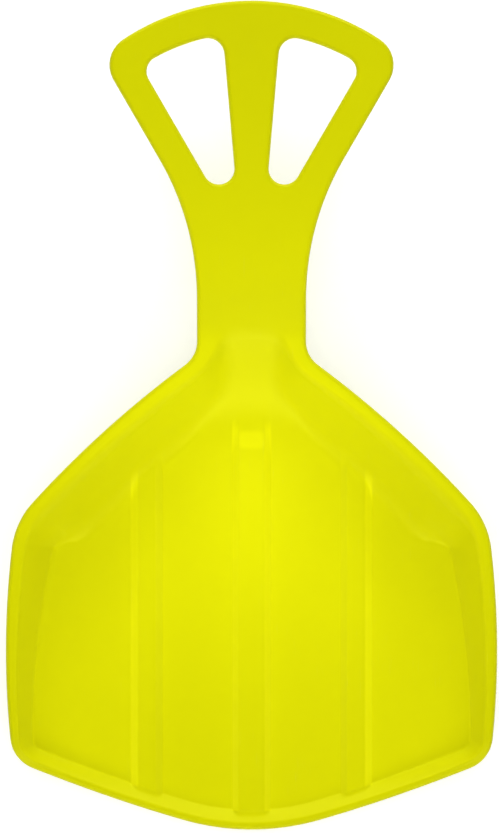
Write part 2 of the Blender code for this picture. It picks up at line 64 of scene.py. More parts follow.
LENGTH = 0.600
PAN_WIDTH = 0.356
REAR_Y = -LENGTH / 2
FRONT_Y = LENGTH / 2
SIDE_RADIUS = 0.650
SIDE_CENTRE = complex(PAN_WIDTH / 2 - SIDE_RADIUS, REAR_Y + 0.128)
REAR_POINT_RADIUS = 0.180
REAR_EDGE_RADIUS = 1.100
REAR_CORNER_Y = REAR_Y + 0.0511
REAR_CORNER_RADIUS = 0.026
FRONT_CORNER_Y = REAR_Y + 0.2245
FRONT_CORNER_RADIUS = 0.060
NECK_WIDTH = 0.0788
SHOULDER = complex(NECK_WIDTH / 2, REAR_Y + 0.3444)
SHOULDER_RADIUS = 0.021
FRONT_EDGE_BOW = 0.0052
FLARE_RADIUS = 0.200
BAR_ANGLE = math.radians(30.1)
HANDLE_TOP_RADIUS = 0.1674
HANDLE_CENTRE = complex(0, FRONT_Y - HANDLE_TOP_RADIUS)
HANDLE_CORNER_X = 0.1091
HANDLE_CORNER_RADIUS = 0.022

TOP_BAR_WIDTH = 0.0232
SIDE_BAR_WIDTH = 0.0224
CENTRE_BAR_TOP_WIDTH = 0.0418
CENTRE_BAR_ANGLE = math.radians(5.0)
OPENING_RADII = (0.0112, 0.012, 0.011)

# %% Sizes of the walls, the ribs and the side view
RAMP_TOP = complex(REAR_Y + 0.359, 0.054)
NECK_RISE = 0.016
NECK_SLOPE = math.radians(20.0)
HANDLE_HEIGHT = 0.070
RIM_CORNERS = (
    complex(REAR_Y, 0.0085),
    complex(REAR_Y + 0.038, 0.012),
    complex(REAR_Y + 0.063, 0.025),
    complex(FRONT_CORNER_Y, 0.050),
    RAMP_TOP,
    complex(RAMP_TOP.real + NECK_RISE / math.tan(NECK_SLOPE), HANDLE_HEIGHT),
    complex(FRONT_Y, HANDLE_HEIGHT),
)
RIM_BENDS = (0.060, -0.070, -0.300, 0.030, -0.110)

SECTION_STATIONS = (0.85, 1.0, 1.93, 2.15, 3.0)
FLANGES = (0.0051, 0.0060, 0.0100, 0.0115, 0.0115)
RUNS = (0.0092, 0.0085, 0.0190, 0.0300, 0.0300)
FOOT_BENDS = (0.07, 0.07, 0.07, 0.32, 0.32)
TOP_BENDS = (0.09, 0.09, 0.09, 0.22, 0.07)
RAMP_SLOPE = math.radians(42.0)
RAMP_HEIGHT = RAMP_TOP.imag - WALL
RAMP_FOOT_Y = RAMP_TOP.real - RAMP_HEIGHT / math.tan(RAMP_SLOPE)
RAMP_FOOT_BEND = 0.60
VALLEY_SHARPNESS = 5

BILGE_WIDTH = 0.045
BILGE_RISE = 0.005
RIB_HEIGHT = 0.0040
RIB_BLEND = 3
RIB_EDGE = 0.0007
RIBS = ((0.0, 0.0280, 0.0192), (0.0763, 0.0232, 0.0128))

# %% [markdown]
# ## The plan: chains of arcs
# Every edge of the moulding is an arc of a circle, and every corner is rounded by another arc. A rounding of radius
# r lies where the two edges, each moved in by r, cross. The same helper draws the outline, the hand openings
# and the side view.

# %% Arcs and their roundings
# A straight edge is drawn as an arc that stands out by no more than this
STRAIGHT_BOW = 1e-6


def arc_of(start, end, bow=0.0):
    """Centre and radius of the arc from start to end whose middle stands out to the right by bow.
    The radius is (half the chord squared + bow squared) / (2 bow)."""
    bow = bow or STRAIGHT_BOW
    radius = (abs(end - start) ** 2 / 4 + bow**2) / (2 * bow)
    left = 1j * (end - start) / abs(end - start)
    return (start + end) / 2 + left * (radius - bow), radius


def circle_crossing(first, second, near):
    """The point nearest to near where two circles cross."""
    (centre_a, radius_a), (centre_b, radius_b) = first, second
    apart = centre_b - centre_a
    along = (radius_a**2 - radius_b**2 + abs(apart) ** 2) / (2 * abs(apart))
    across = math.sqrt(max(radius_a**2 - along**2, 0.0))
    crossings = [centre_a + apart / abs(apart) * (along + 1j * side * across) for side in (1, -1)]
    return min(crossings, key=lambda point: abs(point - near))


def rounding(before, after, radius, corner):
    """The arc that rounds a corner: centre, radius, start and end. A right turn has a negative radius."""
    (centre_a, radius_a), (centre_b, radius_b) = before, after
    circles = (centre_a, abs(radius_a - radius)), (centre_b, abs(radius_b - radius))
    centre = circle_crossing(*circles, corner)
    start = centre_a + (centre - centre_a) * radius_a / (radius_a - radius)
    end = centre_b + (centre - centre_b) * radius_b / (radius_b - radius)
    return centre, radius, start, end


def rounded_chain(edges, corners, radii, start=None, end=None):
    """The arcs of a path with rounded corners, in order. Without start and end it is a closed loop."""
    closed = start is None
    bends = []
    for i, (corner, radius) in enumerate(zip(corners, radii)):
        before, after = (edges[i - 1], edges[i]) if closed else (edges[i], edges[i + 1])
        bends.append(rounding(before, after, radius, corner) if radius else (None, 0, corner, corner))
    firsts = bends if closed else [(None, 0, start, start), *bends]
    lasts = [*bends[1:], bends[0]] if closed else [*bends, (None, 0, end, end)]
    arcs = []
    for (centre, radius), first, last in zip(edges, firsts, lasts):
        arcs += [(centre, radius, first[3], last[2])] + ([last] if last[0] is not None else [])
    return arcs


class Path:
    """A chain of arcs that can be walked: where it is, and which way is inwards, after any length."""

    def __init__(self, arcs):
        centre, radius, start, end = (np.array(part) for part in zip(*arcs))
        self.centre, self.radius, self.start = centre, radius, start
        self.sweep = np.angle((end - centre) / (start - centre))
        self.lengths = abs(self.sweep * radius)
        self.marks = np.concatenate([[0.0], np.cumsum(self.lengths)])
        self.length = self.marks[-1]

    def at(self, along):
        """Point and inward unit vector: the arc's start turned about its centre by its share of the sweep."""
        arc = np.clip(np.searchsorted(self.marks, along, side="right") - 1, 0, len(self.centre) - 1)
        share = (along - self.marks[arc]) / self.lengths[arc]
        spoke = (self.start - self.centre)[arc] * np.exp(1j * self.sweep[arc] * share)
        return self.centre[arc] + spoke, -spoke / self.radius[arc]

    def nearest(self, points):
        """Distance from the path, and how far along it the nearest place is, for an array of points."""
        spoke = points[..., None] - self.centre
        share = np.clip(np.angle(spoke / (self.start - self.centre)) / self.sweep, 0.0, 1.0)
        foot = self.centre + (self.start - self.centre) * np.exp(1j * self.sweep * share)
        gap = abs(points[..., None] - foot)
        arc = np.argmin(gap, axis=-1)[..., None]
        place = self.marks[:-1] + share * self.lengths
        return np.take_along_axis(gap, arc, -1)[..., 0], np.take_along_axis(place, arc, -1)[..., 0]


# %% [markdown]
# The pan's edge runs from the rear point round one side and up the slanted front edge. The outline leaves it at the
# shoulder for the neck and the handle. Walls are measured from the pan's edge, so that edge is also
# wanted by itself. It ends a little way up the neck, where the ramp has come up to the rim.

# %% The pan's edge, the outline and the hand opening
def side_point(y):
    """The point of the bowed side at y, on a circle of SIDE_RADIUS."""
    return complex(SIDE_CENTRE.real + math.sqrt(SIDE_RADIUS**2 - (y - SIDE_CENTRE.imag) ** 2), y)


def pan_edges():
    """The four edges round the pan from the rear point forward, the corners between, and their radii."""
    rear_corner, front_corner = side_point(REAR_CORNER_Y), side_point(FRONT_CORNER_Y)
    point = complex(0, REAR_Y + REAR_POINT_RADIUS)
    inner = (point, REAR_EDGE_RADIUS - REAR_POINT_RADIUS)
    rear_centre = circle_crossing((rear_corner, REAR_EDGE_RADIUS), inner, 1j * REAR_EDGE_RADIUS)
    meeting = rear_centre + (point - rear_centre) * REAR_EDGE_RADIUS / inner[1]
    edges = [(point, REAR_POINT_RADIUS), (rear_centre, REAR_EDGE_RADIUS), (SIDE_CENTRE, SIDE_RADIUS)]
    edges.append(arc_of(front_corner, SHOULDER, FRONT_EDGE_BOW))
    return edges, [meeting, rear_corner, front_corner], [0, REAR_CORNER_RADIUS, FRONT_CORNER_RADIUS]


def pan_edge():
    """Half of the line round the pan: the outline as far as the foot of the neck."""
    neck_foot = complex(NECK_WIDTH / 2, RAMP_TOP.real + FLANGES[-1])
    edges, corners, radii = pan_edges()
    edges.append(arc_of(SHOULDER, neck_foot))
    corners.append(SHOULDER)
    radii.append(-SHOULDER_RADIUS)
    return Path(rounded_chain(edges, corners, radii, complex(0, REAR_Y), neck_foot))


def bar_line():
    """Where the side bar's outer edge meets the neck's line and the handle's top arc, before rounding."""
    top = HANDLE_CENTRE + complex(HANDLE_CORNER_X, math.sqrt(HANDLE_TOP_RADIUS**2 - HANDLE_CORNER_X**2))
    drop = (HANDLE_CORNER_X - NECK_WIDTH / 2) / math.tan(BAR_ANGLE)
    return complex(NECK_WIDTH / 2, top.imag - drop), top


def outline():
    """Half of the slider's outline, from the rear point round to the middle of the handle."""
    flare, handle_corner = bar_line()
    edges, corners, radii = pan_edges()
    edges += [arc_of(SHOULDER, flare), arc_of(flare, handle_corner), (HANDLE_CENTRE, HANDLE_TOP_RADIUS)]
    corners += [SHOULDER, flare, handle_corner]
    radii += [-SHOULDER_RADIUS, -FLARE_RADIUS, HANDLE_CORNER_RADIUS]
    return Path(rounded_chain(edges, corners, radii, complex(0, REAR_Y), complex(0, FRONT_Y)))


def line_crossing(start_a, way_a, start_b, way_b):
    """The point where two straight lines cross."""
    along = (np.conj(way_b) * (start_b - start_a)).imag / (np.conj(way_b) * way_a).imag
    return start_a + way_a * along


def hand_opening():
    """The right hand opening, run clockwise so that the plastic lies to its left."""
    flare, handle_corner = bar_line()
    arc_radius = HANDLE_TOP_RADIUS - TOP_BAR_WIDTH
    outer_way = (handle_corner - flare) / abs(handle_corner - flare)
    outer_start = flare + 1j * outer_way * SIDE_BAR_WIDTH
    inner_way = 1j * np.exp(-1j * CENTRE_BAR_ANGLE)
    inner_top = complex(CENTRE_BAR_TOP_WIDTH / 2, HANDLE_CENTRE.imag + arc_radius)
    bottom = line_crossing(outer_start, outer_way, inner_top, inner_way)
    inner_side = arc_of(bottom, bottom + inner_way * arc_radius)
    outer_side = arc_of(bottom + outer_way * arc_radius, bottom)
    top = (HANDLE_CENTRE, -arc_radius)
    corners = [bottom, circle_crossing(top, inner_side, inner_top), circle_crossing(top, outer_side, handle_corner)]
    return Path(rounded_chain([inner_side, top, outer_side], corners, [-radius for radius in OPENING_RADII]))


PAN_EDGE, OUTLINE, OPENING = pan_edge(), outline(), hand_opening()
print("outline of one half, mm:", round(OUTLINE.length * 1000))
print("round the hand opening, mm:", round(OPENING.length * 1000))

# %% [markdown]
# ## The height: a rim line pressed down into the pan
# Seen from the side, the rim climbs from the rear lip to the shoulder, then up the neck to the handle. Inside the
# pan the sheet is pressed down from that rim to the floor. How far it is pressed depends only on the distance
# from the edge, and, on the ramp to the neck, on y. The two slopes are joined by a power sum, which acts
# like the larger of the two but rounds the valley between them.
#
# The underside is the same formula again. A sheet of even thickness has each bend of its lower face moved
# uphill by wall x tan(half the slope), so `under` adds just that.

# %% Height of the sheet
STATION_MARKS = [0.0, *(float(PAN_EDGE.nearest(np.array(side_point(y)))[1]) for y in (REAR_CORNER_Y, FRONT_CORNER_Y))]
STATION_MARKS.append(PAN_EDGE.length)


def ease(value, reach):
    """0 below -reach, value above reach, and (value + reach) squared / (4 reach) between."""
    return np.where(value < -reach, 0.0, np.where(value > reach, value, (value + reach) ** 2 / (4 * reach)))


def wall_section(points):
    """Distance from the pan's edge, and the flange, run, foot bend and top bend of the wall there."""
    distance, along = PAN_EDGE.nearest(points)
    station = np.interp(along, STATION_MARKS, range(len(STATION_MARKS)))
    sizes = [np.interp(station, SECTION_STATIONS, size) for size in (FLANGES, RUNS, FOOT_BENDS, TOP_BENDS)]
    return distance, *sizes


SIDE_VIEW_SAMPLES = 4000
SIDE_EDGES = [arc_of(start, end) for start, end in zip(RIM_CORNERS[:-1], RIM_CORNERS[1:])]
SIDE_VIEW = Path(rounded_chain(SIDE_EDGES, RIM_CORNERS[1:-1], RIM_BENDS, RIM_CORNERS[0], RIM_CORNERS[-1]))
SIDE_VIEW_POINTS, _ = SIDE_VIEW.at(np.linspace(0, SIDE_VIEW.length, SIDE_VIEW_SAMPLES))


def rim_height(y):
    """Height of the rim line over y, read off the side view's arcs."""
    return np.interp(y, SIDE_VIEW_POINTS.real, SIDE_VIEW_POINTS.imag)


def floor_height(points):
    """The wall's thickness, and beside the side walls BILGE_RISE x (share of the way to the wall) squared."""
    widths = [FLANGES[1] + RUNS[1], FLANGES[2] + RUNS[2]]
    beside = SIDE_RADIUS - abs(points - SIDE_CENTRE) - np.interp(points.imag, [REAR_CORNER_Y, FRONT_CORNER_Y], widths)
    return WALL + BILGE_RISE * np.clip(1 - beside / BILGE_WIDTH, 0.0, 1.0) ** 2


def bend_shift(rise, run):
    """How far the lower face's bends lie uphill of the upper face's: wall x tan(half the slope's angle)."""
    return WALL * np.tan(np.arctan2(rise, run) / 2)


def rib_height(x, under=False):
    """Ribs over the floor: a flank that climbs from 0 to 1 and stops, with its two bends eased."""
    height = np.zeros_like(x)
    for centre, width, top_width in RIBS:
        flank = (width - top_width) / 2
        half = width / 2 - (bend_shift(RIB_HEIGHT, flank) if under else 0.0)
        climb = (half - abs(x - centre)) / flank
        bend = RIB_EDGE / flank
        height = np.maximum(height, ease(climb, bend) - ease(climb - 1, bend))
    return height * RIB_HEIGHT


def raw_share(points, depth, under=False):
    """How far up from floor to rim the walls and the ramp have come: the fifth root of the sum of their
    fifth powers. It goes on past 1 under the flange."""
    distance, flange, run, foot, top = wall_section(points)
    ahead = points.imag - RAMP_FOOT_Y
    if under:
        distance = distance + bend_shift(depth, run)
        ahead = ahead - bend_shift(1.0, 1 / math.tan(RAMP_SLOPE))
    wall = ease((flange + run - distance) / run, foot)
    ramp = ease(ahead * math.tan(RAMP_SLOPE) / depth, RAMP_FOOT_BEND)
    return (wall**VALLEY_SHARPNESS + ramp**VALLEY_SHARPNESS) ** (1 / VALLEY_SHARPNESS), top


def sheet_height(points, under=False):
    """Floor + the cube root of (depth x share) cubed + (rib x what is left of the share) cubed."""
    floor = floor_height(points)
    depth = rim_height(points.imag) - floor
    share, top = raw_share(points, depth, under)
    share = 1 - ease(1 - share, top)
    rib = rib_height(points.real, under) * (1 - share)
    height = floor + ((depth * share) ** RIB_BLEND + rib**RIB_BLEND) ** (1 / RIB_BLEND)
    return height - WALL if under else height


print("sheet heights at the floor, a rib and the handle, mm:", sheet_height(np.array([0.03, 0, 0.28j])) * 1000)

# %% [markdown]
# ## Grids that follow the moulding
# A plain square grid would cut across the creases and make them ragged. So the grid's columns run along the ribs,
# with several lines over each bend, and its rows run along the walls' level lines. There is a patch each for the
# floor, the walls round it and the neck, and one that goes round the hand opening.

# %% Columns: where lengthwise grid lines cross the pan
def runs(*stretches):
    """Places along a line, from stretches of (start, end, steps) that follow each other."""
    lines = [np.linspace(start, end, steps, endpoint=False) for start, end, steps in stretches]
    return np.append(np.concatenate(lines), stretches[-1][1])


# The neck's rim runs through this column at the shoulder
SHOULDER_X = 0.0386
BEND_STEPS, FLANK_STEPS = 6, 2
# Steps over the flat stretch before each flank: the centre rib's top, the floor and the side rib's top
FLAT_STEPS = (5, 15, 6)


def rib_columns():
    """Columns from the middle line to just outside the side rib, close together over each bend."""
    corners = []
    for centre, width, top_width in RIBS:
        flanks = [(-width / 2, -top_width / 2)] if centre else []
        flanks.append((top_width / 2, width / 2))
        corners += [[centre + place for place in pair] for pair in flanks]
    marks, steps = [0.0], []
    for (first, second), before in zip(corners, FLAT_STEPS):
        marks += [first - RIB_EDGE, first + RIB_EDGE, second - RIB_EDGE, second + RIB_EDGE]
        steps += [before, BEND_STEPS, FLANK_STEPS, BEND_STEPS]
    columns = runs(*zip(marks[:-1], marks[1:], steps))
    shoulder_column = int(np.argmin(abs(columns - SHOULDER_X)))
    columns[shoulder_column] = SHOULDER_X
    return columns, shoulder_column


RIB_COLUMNS, SHOULDER_COLUMN = rib_columns()
print("columns over the ribs:", len(RIB_COLUMNS), " shoulder at column", SHOULDER_COLUMN)

# %% [markdown]
# **Sections of the walls.** A wall's grid line runs from a point at the wall's foot to a point on the rim. The rear and
# front sections start where the lengthwise columns arrive, so that the floor's grid fits onto them. Both lines are
# walked in fine steps once, and every such place is read off those walks.

# %% Sections of the walls
INNER_MARGIN = 0.0015
EDGE_STEPS, CORNER_STEPS = 12, 12
SIDE_STEPS = 66
OUTLINE_SAMPLES = 60001
PAN_EDGE_SAMPLES = 40001
# The shoulder's place is searched for up to this far past it
PAST_BY = 0.02


def foot_point(along):
    """The point at the foot of the wall, inward from the pan's edge by flange + run x (1 + foot bend)."""
    point, inward = PAN_EDGE.at(along)
    _, flange, run, foot, _ = wall_section(point)
    return point + inward * (flange + run * (1 + foot) + INNER_MARGIN)


def rim_point(along):
    """The point where the flange turns over into the rounded rim."""
    point, inward = OUTLINE.at(along)
    return point + inward * RIM_RADIUS


def where_x(line, walk, x, start, end):
    """How far along a sampled line it reaches x, between two places along it."""
    part = (walk >= start) & (walk <= end)
    order = np.argsort(line[part].real)
    return np.interp(x, line[part].real[order], walk[part][order])


def corner_arc(path, corner):
    """How far along a path the arc that rounds a corner has its start, its middle and its end."""
    _, along = path.nearest(np.array(corner))
    arc = np.searchsorted(path.marks, along, side="right") - 1
    return path.marks[arc], path.marks[arc] + path.lengths[arc] / 2, path.marks[arc + 1]


OUTLINE_WALK = np.linspace(0, OUTLINE.length, OUTLINE_SAMPLES)
RIM_WALK = rim_point(OUTLINE_WALK)
PAN_WALK = np.linspace(0, PAN_EDGE.length, PAN_EDGE_SAMPLES)
FOOT_WALK = foot_point(PAN_WALK)
REAR_ARC_START, REAR_TURN, REAR_ARC_END = corner_arc(PAN_EDGE, side_point(REAR_CORNER_Y))
_, _, FRONT_ARC_END = corner_arc(PAN_EDGE, side_point(FRONT_CORNER_Y))
FRONT_TURN = float(np.interp(SECTION_STATIONS[2], range(len(STATION_MARKS)), STATION_MARKS))
_, PAST_SHOULDER = OUTLINE.nearest(np.array(SHOULDER + 1j * PAST_BY))
SHOULDER_ALONG = where_x(RIM_WALK, OUTLINE_WALK, SHOULDER_X, FRONT_ARC_END, PAST_SHOULDER)
print("turns of the grid along the edge, mm:", round(REAR_TURN * 1000), round(FRONT_TURN * 1000))


def on_to_corner(along, near, turn):
    """Places along a path, and more of them from the last one to a corner's arc and on to its turn."""
    return np.append(along, runs((along[-1], near, EDGE_STEPS), (near, turn, CORNER_STEPS))[1:])


def rear_sections():
    """Places along the pan's edge and the outline behind the floor, from the middle line to the rear corner."""
    foot = where_x(FOOT_WALK, PAN_WALK, RIB_COLUMNS, 0, REAR_TURN)
    rim = where_x(RIM_WALK, OUTLINE_WALK, RIB_COLUMNS, 0, REAR_TURN)
    return [on_to_corner(along, REAR_ARC_START, REAR_TURN) for along in (foot, rim)]


def front_sections():
    """The same in front of the floor, to the front corner. The outline's places begin at the shoulder."""
    foot = where_x(FOOT_WALK, PAN_WALK, RIB_COLUMNS, FRONT_ARC_END, PAN_EDGE.length)
    rim = where_x(RIM_WALK, OUTLINE_WALK, RIB_COLUMNS[SHOULDER_COLUMN:], FRONT_ARC_END, SHOULDER_ALONG)
    rim[0] = SHOULDER_ALONG
    return [on_to_corner(along, FRONT_ARC_END, FRONT_TURN) for along in (foot, rim)]


REAR_FOOT, REAR_RIM = rear_sections()
FRONT_FOOT, FRONT_RIM = front_sections()
SIDE_ALONG = runs((REAR_TURN, REAR_ARC_END, CORNER_STEPS), (REAR_ARC_END, FRONT_TURN, SIDE_STEPS))
print("sections: rear", len(REAR_FOOT), "side", len(SIDE_ALONG), "front", len(FRONT_FOOT))

# %% [markdown]
# **Rows along the level lines.** A wall is bent sharply at its foot and under its flange and is plain between. Rows
# that follow the level lines, crowded over those two bends, give crisp bends from few points.

# %% Rows of the walls
FOOT_ROWS, WALL_ROWS, CREASE_ROWS, FLANGE_ROWS = 8, 7, 8, 3
SECTION_SAMPLES = 501
# Added along a section, so that its sampled share rises even where the sheet is level
LEAST_RISE = 1e-6


def level_rows(foot, rim):
    """Grid over wall sections, feet x levels. Its rows lie on the level lines of the raw share.

    Each section is a straight line from foot to rim. Along it the share is sampled, and each level's place is
    read off by interpolation."""
    places = np.linspace(0, 1, SECTION_SAMPLES)
    line = foot[:, None] + (rim - foot)[:, None] * places
    share, top = raw_share(line, rim_height(line.imag) - floor_height(line))
    _, _, _, bend, _ = wall_section(foot[:, None])
    crease, low = top[:, -1:], share[:, :1]
    levels = [
        bend * np.linspace(0, 1, FOOT_ROWS + 1)[1:] ** 2,
        bend + (1 - crease - bend) * np.linspace(0, 1, WALL_ROWS + 1)[1:],
        1 + crease * np.linspace(-1, 1, CREASE_ROWS + 1)[1:],
    ]
    levels = np.concatenate(levels, axis=1)
    levels = np.where(levels < 1, low + (1 - low) * levels, levels)
    rising = share + places * LEAST_RISE
    found = np.array([np.interp(level, row, places) for level, row in zip(levels, rising)])
    last = found[:, -1:]
    flange = last + (1 - last) * np.linspace(0, 1, FLANGE_ROWS + 1)[1:]
    found = np.concatenate([np.zeros_like(last), found, flange], axis=1)
    return foot[:, None] + (rim - foot)[:, None] * found


NECK_FOOT_RISE = 0.022


def neck_foot_row():
    """The row across the foot of the neck. It rises from the shoulder by NECK_FOOT_RISE x (1 - share to the
    fourth), where share is the part of the way out from the middle line."""
    shoulder = rim_point(SHOULDER_ALONG)
    share = RIB_COLUMNS[: SHOULDER_COLUMN + 1] / SHOULDER_X
    return shoulder.real * share + 1j * (shoulder.imag + NECK_FOOT_RISE * (1 - share**4))


NECK_FOOT = neck_foot_row()
front_rim_points = np.concatenate([NECK_FOOT[:-1], rim_point(FRONT_RIM)])
REAR_WALL = level_rows(foot_point(REAR_FOOT), rim_point(REAR_RIM))
SIDE_WALL = level_rows(foot_point(SIDE_ALONG), rim_point(SIDE_ALONG))
FRONT_WALL = level_rows(foot_point(FRONT_FOOT), front_rim_points)
print("wall grids:", REAR_WALL.shape, SIDE_WALL.shape, FRONT_WALL.shape)

# %% [markdown]
# **The floor.** The pan's floor lies inside the feet of the walls. Its columns run lengthwise along the ribs, so
# every rib is a few straight strips, and only the outermost columns bow out to meet the side wall.

# %% The floor's grid
def floor_grid(rear, front, side):
    """Grid inside the feet of the walls, columns x rows.

    Each column is the straight line between its rear and front points. Towards the side, a smooth share of the
    side line's bow is added, so the last column is the side line itself."""
    share = np.linspace(0, 1, len(side))
    straight = rear[:, None] * (1 - share) + front[:, None] * share
    across = np.clip((np.arange(len(rear)) - len(RIB_COLUMNS) + 1) / (EDGE_STEPS + CORNER_STEPS), 0, 1)
    weight = across**2 * (3 - 2 * across)
    return straight + weight[:, None] * (side - straight[-1])[None, :]


FLOOR = floor_grid(REAR_WALL[:, 0], FRONT_WALL[:, 0], SIDE_WALL[:, 0])
print("floor grid:", FLOOR.shape)

# %% [markdown]
# **The neck.** The plain strip between the ramp and the handle narrows and widens again. Its rows keep the shape of
# the row that the front wall ends in, and straighten on the way up.

# %% The neck's grid
NECK_TOP_Y = 0.140
NECK_ROWS = 44
# The neck's top is searched for up to this far past it, and within this x
NECK_MARGIN = 0.01
NECK_WITHIN_X = 0.06


def neck_grid():
    """Grid over the neck, columns x rows. Each row has the shape of the row at the neck's foot, stretched to
    the neck's half width, and its bulge dies away evenly towards the straight row at the top."""
    beyond = (OUTLINE_WALK > SHOULDER_ALONG) & (RIM_WALK.real < NECK_WITHIN_X)
    beyond &= RIM_WALK.imag < NECK_TOP_Y + NECK_MARGIN
    top = float(np.interp(NECK_TOP_Y, RIM_WALK.imag[beyond], OUTLINE_WALK[beyond]))
    along = np.linspace(SHOULDER_ALONG, top, NECK_ROWS + 1)
    edge = rim_point(along)
    share = (edge.imag - edge.imag[0]) / (edge.imag[-1] - edge.imag[0])
    bulge = NECK_FOOT.imag - edge.imag[0]
    across = NECK_FOOT.real / NECK_FOOT.real[-1]
    return across[:, None] * edge.real + 1j * (edge.imag + bulge[:, None] * (1 - share)), along


NECK, NECK_ALONG = neck_grid()
print("neck grid:", NECK.shape)

# %% [markdown]
# **The handle.** Its bars lie round the hand opening like a ring, so the grid goes round too: from the rim of the
# opening out to the rim of the handle, and in to the middle line.

# %% The handle's grid
BAR_ROWS = 6
BAR_STEPS = 34


def handle_grid():
    """Grid round the hand opening, stations x rows, between the opening's rim and the handle's.

    The outer line runs along the neck's top row, up the side bar, over the top bar and down the middle line.
    The inner line has as many stations between matching corners of the opening."""
    _, corner, _ = corner_arc(OUTLINE, bar_line()[1])
    first, second = (OPENING.marks[i] + OPENING.lengths[i] / 2 for i in (1, 3))
    turns = (OPENING.length, OPENING.marks[5], second, first, 0.0)
    back = runs(*zip(turns, turns[1:], (len(NECK) - 1, *[BAR_STEPS] * 3)))
    outer_along = runs((NECK_ALONG[-1], corner, BAR_STEPS), (corner, OUTLINE.length, BAR_STEPS))
    edge = rim_point(outer_along)
    middle = 1j * np.linspace(edge[-1].imag, NECK_TOP_Y, BAR_STEPS + 1)
    outer = np.concatenate([NECK[:-1, -1], edge[:-1], middle])
    point, inward = OPENING.at(back)
    inner = point + inward * RIM_RADIUS
    share = np.linspace(0, 1, BAR_ROWS + 1)
    return outer[:, None] * (1 - share) + inner[:, None] * share, outer_along, back


HANDLE, HANDLE_ALONG, OPENING_ALONG = handle_grid()
print("handle grid:", HANDLE.shape)

# %% [markdown]
# ## The rim: a profile carried along a path
# All round the outside, and round both hand openings, the sheet is turned down into a short skirt. That edge has
# the same section everywhere: a rounded rim, a straight skirt, a small round at its foot, and the same lines
# back up inside. So it is one profile carried along each path.

# %% The rim's profile
OVER_STEPS, FOOT_STEPS, WITHIN_STEPS = 8, 3, 4


def arc_profile(centre, radius, start, end, steps):
    """Points of an arc in the section plane, from one angle in degrees to another."""
    return centre + radius * np.exp(1j * np.radians(np.linspace(start, end, steps + 1)))


def rim_profile():
    """Section of the turned edge: inward distance + i x height, below the rim line, from the upper face
    over the rim, down the skirt, round its foot and up to the lower face."""
    foot, bend = SKIRT_FOOT_RADIUS, complex(RIM_RADIUS, -RIM_RADIUS)
    over = arc_profile(bend, RIM_RADIUS, 90, 180, OVER_STEPS)
    toe = arc_profile(complex(foot, foot - SKIRT_DEPTH), foot, 180, 270, FOOT_STEPS)
    heel = arc_profile(complex(WALL - foot, foot - SKIRT_DEPTH), foot, 270, 360, FOOT_STEPS)
    within = arc_profile(bend, RIM_RADIUS - WALL, 180, 90, WITHIN_STEPS)
    return np.concatenate([over, toe, heel, within])


def rim_band(path, along):
    """The profile carried along a path: stations x profile points, as x, y, z."""
    point, inward = path.at(along)
    profile = rim_profile()
    flat = point[:, None] + inward[:, None] * profile.real
    top = rim_height((point + inward * RIM_RADIUS).imag)
    return np.stack([flat.real, flat.imag, top[:, None] + profile.imag], axis=-1)


RIM_ALONG = np.concatenate([REAR_RIM[:-1], SIDE_ALONG[:-1], FRONT_RIM[:0:-1], NECK_ALONG[:-1], HANDLE_ALONG])
print("rim stations:", len(RIM_ALONG), "of one half, profile points:", len(rim_profile()))

# %% [markdown]
# ## Putting the mesh together
# Each grid becomes a block of square faces. Neighbouring grids share their border points, and points that round to
# the same place are made one, which sews them. The other half is the mirror image, with its faces turned round
# again so that all of them look outwards.

# %% Grids to mesh data
# Points that agree to this many decimals of a metre are one, and x is 0 within this reach of the middle line
SEWING_PLACES = 7
MIDDLE_LINE_REACH = 1e-7


def lifted(grid, under):
    """A plan grid as x, y, z on the upper or the lower face."""
    return np.stack([grid.real, grid.imag, sheet_height(grid, under)], axis=-1)


def block_faces(rows, columns, first, turned):
    """Corner numbers of the square faces of a rows x columns block whose first point is number first."""
    corner = first + (np.arange(rows - 1)[:, None] * columns + np.arange(columns - 1)).ravel()
    square = np.column_stack([corner, corner + columns, corner + columns + 1, corner + 1])
    return square[:, ::-1] if turned else square


def half_sheet():
    """All blocks of the right half: points and faces, before they are sewn."""
    plans = ((REAR_WALL, True), (SIDE_WALL, True), (FRONT_WALL, False), (FLOOR, False), (NECK, False), (HANDLE, False))
    blocks = [(lifted(grid, under), turned != under) for grid, turned in plans for under in (False, True)]
    blocks += [(rim_band(OUTLINE, RIM_ALONG), True), (rim_band(OPENING, OPENING_ALONG), False)]
    points, faces, first = [], [], 0
    for block, flip in blocks:
        rows, columns, _ = block.shape
        points.append(block.reshape(-1, 3))
        faces.append(block_faces(rows, columns, first, flip))
        first += rows * columns
    return np.concatenate(points), np.concatenate(faces)


def sewn(points, faces):
    """The same faces with coincident points made one, without the faces that have shrunk to nothing."""
    keys, index = np.unique(np.round(points, SEWING_PLACES), axis=0, return_inverse=True)
    faces = index.reshape(-1)[faces]
    return keys, faces[np.all(faces != np.roll(faces, -1, axis=1), axis=1)]


def whole_sheet():
    """The right half and its mirror image, sewn along the middle line."""
    points, faces = half_sheet()
    points[abs(points[:, 0]) < MIDDLE_LINE_REACH, 0] = 0.0
    both = np.concatenate([points, points * (-1, 1, 1)])
    return sewn(both, np.concatenate([faces, faces[:, ::-1] + len(points)]))


SHEET_POINTS, SHEET_FACES = whole_sheet()
print("sheet:", len(SHEET_POINTS), "points,", len(SHEET_FACES), "faces")

# %% [markdown]
# ** Painted highlights on the ribs' flanks.** The flanks carry lines a little paler than the floor, most of all on the sides
# that face away from the middle. They are highlights painted into the colour. So each point of the mesh
# carries a number that the plastic's colour reads further down. It is the slope of the rib's own formula, so it
# fades over the bends exactly as the flank does.
# The ribs' flanks.** They show in the photograph as lines a little paler than the floor, most of all on the sides that
# face away from the middle, perhaps because the sheet is drawn thinnest there. So each point of the mesh carries a
# number that the plastic's colour reads further down. It is the slope of the rib's own formula, so it fades over the
# bends exactly as the flank does.

